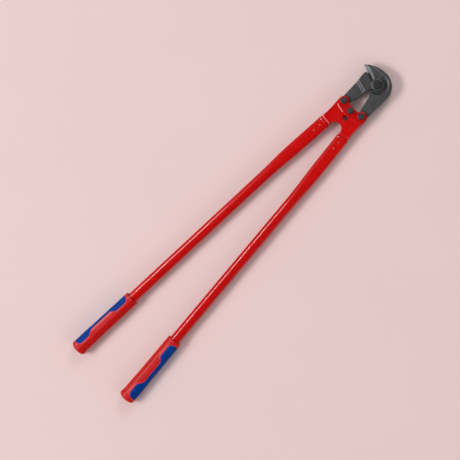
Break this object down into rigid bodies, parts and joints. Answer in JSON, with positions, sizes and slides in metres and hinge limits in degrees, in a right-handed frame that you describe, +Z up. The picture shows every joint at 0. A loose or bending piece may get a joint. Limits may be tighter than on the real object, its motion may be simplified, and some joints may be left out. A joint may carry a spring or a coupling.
{
  "type": "bolt cutters",
  "caption": "Long two-handed bolt cutters: hooked upper blade over a flat lower blade, forged levers, tubular handles and two-colour soft grips.",
  "frame": {"origin": "centre of the bounding box in plan, on the surface the tool lies on, jaws closed", "axes": "+Y along the tool towards the jaws, +Z up square to the flat of the tool, +X towards the hook blade's handle"},
  "size_m": [0.1968, 0.9468, 0.036],
  "materials": {
    "red_paint": "gloss powder coat",
    "pin_paint": "painted pin heads",
    "grip_red": "satin moulded",
    "grip_blue": "matte soft inlay",
    "blade_steel": "dark oxidised forged steel",
    "fastener_steel": "dark phosphated steel"
  },
  "bodies": {
    "left_handle": {"left_lever": "red_paint", "left_tube": "red_paint", "left_tube_pins": "pin_paint", "left_grip": "grip_red", "left_grip_inlay": "grip_blue", "left_blade_bolt": "fastener_steel", "left_blade_washer": "fastener_steel", "left_blade_nut": "fastener_steel", "centre_bolt": "fastener_steel", "centre_washer": "fastener_steel", "centre_nut": "fastener_steel"},
    "right_handle": {"right_lever": "red_paint", "right_tube": "red_paint", "right_tube_pins": "pin_paint", "right_grip": "grip_red", "right_grip_inlay": "grip_blue", "right_blade_bolt": "fastener_steel", "right_blade_washer": "fastener_steel", "right_blade_nut": "fastener_steel"},
    "lower_jaw": {"lower_blade": "blade_steel", "jaw_bolt": "fastener_steel", "jaw_washer": "fastener_steel", "jaw_nut": "fastener_steel"},
    "hook_jaw": {"hook_blade": "blade_steel"}
  },
  "joints": [
    {"name": "handle_pivot", "type": "hinge", "parent": "left_handle", "child": "right_handle", "pos_m": [0, 0.35654, 0.018], "axis": [0, 0, 1], "range_deg": [0, 80]},
    {"name": "lower_blade_pivot", "type": "hinge", "parent": "left_handle", "child": "lower_jaw", "pos_m": [-0.0271, 0.36354, 0.018], "axis": [0, 0, 1], "range_deg": [0, 46.2]},
    {"name": "jaw_pivot", "type": "hinge", "parent": "lower_jaw", "child": "hook_jaw", "pos_m": [0.0036, 0.44134, 0.018], "axis": [0, 0, 1], "range_deg": [-15.8, 0]}
  ],
  "couplings": [
    {"joint": "lower_blade_pivot", "follows": "handle_pivot", "ratio": 0.5762},
    {"joint": "jaw_pivot", "follows": "handle_pivot", "ratio": -0.1957}
  ]
}
